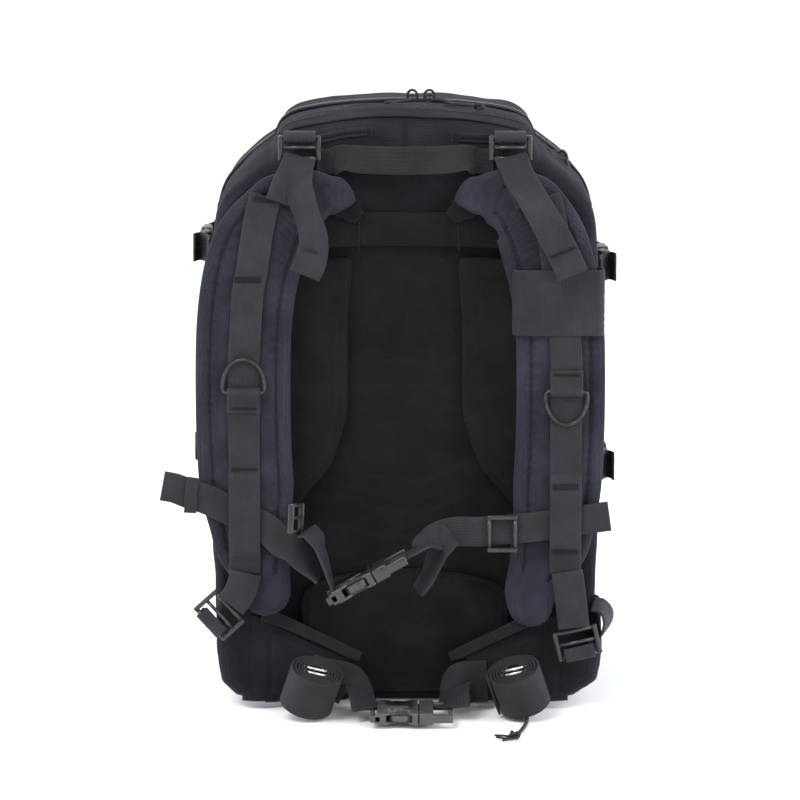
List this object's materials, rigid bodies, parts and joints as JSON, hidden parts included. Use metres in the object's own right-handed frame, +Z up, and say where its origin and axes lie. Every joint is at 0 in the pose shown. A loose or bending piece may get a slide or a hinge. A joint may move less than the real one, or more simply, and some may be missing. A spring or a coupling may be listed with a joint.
{
  "type": "trauma backpack",
  "caption": "Black clamshell trauma backpack with padded harness, sternum strap, folded hip wings, haul handle and side clips.",
  "frame": {"origin": "middle of the flat base of the rear half, where the bag stands", "axes": "+Z up, -Y out of the back panel towards the wearer, +X to the right of someone who looks at the harness"},
  "size_m": [0.3629, 0.3536, 0.4814],
  "materials": {
    "pack_fabric": "matte",
    "back_fabric": "matte",
    "webbing": "matte",
    "plastic": "satin",
    "ring_metal": "satin",
    "aluminium": "satin",
    "sheet_plastic": "matte",
    "cord": "matte"
  },
  "bodies": {
    "pack": {"rear_shell": "pack_fabric", "frame_sheet": "sheet_plastic", "stay_left": "aluminium", "stay_right": "aluminium", "organiser_panel": "back_fabric", "inner_pouch": "back_fabric", "pad_left": "back_fabric", "pad_right": "back_fabric", "pad_upper": "back_fabric", "pad_lumbar": "back_fabric", "hip_root_left": "pack_fabric", "hip_root_right": "pack_fabric", "lower_anchor_left": "webbing", "lower_anchor_right": "webbing", "clip_socket_left_upper": "plastic", "clip_socket_left_lower": "plastic", "clip_socket_right_upper": "plastic", "clip_socket_right_lower": "plastic", "base_cord": "cord"},
    "front": {"front_shell": "pack_fabric", "front_pocket": "pack_fabric", "clip_plug_left_upper": "plastic", "clip_plug_left_lower": "plastic", "clip_plug_right_upper": "plastic", "clip_plug_right_lower": "plastic"},
    "handle": {"haul_handle": "webbing"},
    "left_strap": {"strap_left": "pack_fabric", "daisy_left": "webbing", "tail_left": "webbing", "lifter_left": "webbing", "sternum_web_left": "webbing", "sternum_lock_left": "plastic", "sternum_socket": "plastic"},
    "right_strap": {"strap_right": "pack_fabric", "daisy_right": "webbing", "tail_right": "webbing", "lifter_right": "webbing", "strap_sleeve": "webbing", "sternum_lock_right": "plastic"},
    "left_ring": {"d_ring_left": "ring_metal"},
    "right_ring": {"d_ring_right": "ring_metal"},
    "chest_plug": {"sternum_plug": "plastic", "sternum_web_right": "webbing"},
    "left_lifter_lock": {"lifter_lock_left": "plastic"},
    "right_lifter_lock": {"lifter_lock_right": "plastic"},
    "left_lower_lock": {"lower_lock_left": "plastic"},
    "right_lower_lock": {"lower_lock_right": "plastic"},
    "left_wing": {"hip_wing_left": "pack_fabric", "hip_roll_left": "webbing", "hip_web_left": "webbing", "hip_socket": "plastic"},
    "right_wing": {"hip_wing_right": "pack_fabric", "hip_roll_right": "webbing"},
    "waist_plug": {"hip_plug": "plastic", "hip_web_right": "webbing"},
    "left_zip": {"zip_slider_left": "plastic", "zip_pull_left": "cord"},
    "right_zip": {"zip_slider_right": "plastic", "zip_pull_right": "cord"}
  },
  "joints": [
    {"name": "clamshell", "type": "hinge", "parent": "pack", "child": "front", "pos_m": [0, 0.0554, 0], "axis": [-1, 0, 0], "range_deg": [0, 170]},
    {"name": "haul_handle_lift", "type": "hinge", "parent": "pack", "child": "handle", "pos_m": [0, -0.058, 0.4525], "axis": [-1, 0, 0], "range_deg": [0, 90]},
    {"name": "left_strap_swing", "type": "hinge", "parent": "pack", "child": "left_strap", "pos_m": [0, -0.067, 0.427], "axis": [-1, 0, 0], "range_deg": [0, 30]},
    {"name": "right_strap_swing", "type": "hinge", "parent": "pack", "child": "right_strap", "pos_m": [0, -0.067, 0.427], "axis": [-1, 0, 0], "range_deg": [0, 30]},
    {"name": "left_ring_flip", "type": "hinge", "parent": "left_strap", "child": "left_ring", "pos_m": [-0.127, -0.1044, 0.2626], "axis": [1, 0, 0], "range_deg": [0, 150]},
    {"name": "right_ring_flip", "type": "hinge", "parent": "right_strap", "child": "right_ring", "pos_m": [0.127, -0.1044, 0.2626], "axis": [-1, 0, 0], "range_deg": [0, 150]},
    {"name": "chest_buckle_release", "type": "slide", "parent": "left_strap", "child": "chest_plug", "axis": [0.8746, 0, 0.4848], "range_m": [0, 0.028]},
    {"name": "left_lifter_lock_tilt", "type": "hinge", "parent": "pack", "child": "left_lifter_lock", "pos_m": [-0.083, -0.0695, 0.4605], "axis": [-1, 0, 0], "range_deg": [0, 15]},
    {"name": "right_lifter_lock_tilt", "type": "hinge", "parent": "pack", "child": "right_lifter_lock", "pos_m": [0.083, -0.0695, 0.4605], "axis": [-1, 0, 0], "range_deg": [0, 15]},
    {"name": "left_lower_lock_tilt", "type": "hinge", "parent": "pack", "child": "left_lower_lock", "pos_m": [-0.15542, -0.098, 0.07447], "axis": [0.6691, 0, -0.7431], "range_deg": [0, 40]},
    {"name": "right_lower_lock_tilt", "type": "hinge", "parent": "pack", "child": "right_lower_lock", "pos_m": [0.1397, -0.098, 0.04881], "axis": [0.9744, 0, 0.225], "range_deg": [0, 40]},
    {"name": "left_wing_fold", "type": "hinge", "parent": "pack", "child": "left_wing", "pos_m": [-0.1165, -0.083, 0.03], "axis": [0, 0, -1], "range_deg": [0, 60]},
    {"name": "right_wing_fold", "type": "hinge", "parent": "pack", "child": "right_wing", "pos_m": [0.1165, -0.083, 0.03], "axis": [0, 0, 1], "range_deg": [0, 60]},
    {"name": "waist_buckle_release", "type": "slide", "parent": "left_wing", "child": "waist_plug", "axis": [1, 0, 0], "range_m": [0, 0.028]},
    {"name": "left_zip_run", "type": "slide", "parent": "pack", "child": "left_zip", "axis": [-1, 0, 0], "range_m": [0, 0.05]},
    {"name": "right_zip_run", "type": "slide", "parent": "pack", "child": "right_zip", "axis": [1, 0, 0], "range_m": [0, 0.05]}
  ],
  "couplings": [
    {"joint": "right_strap_swing", "follows": "left_strap_swing", "ratio": 1},
    {"joint": "right_wing_fold", "follows": "left_wing_fold", "ratio": 1}
  ]
}
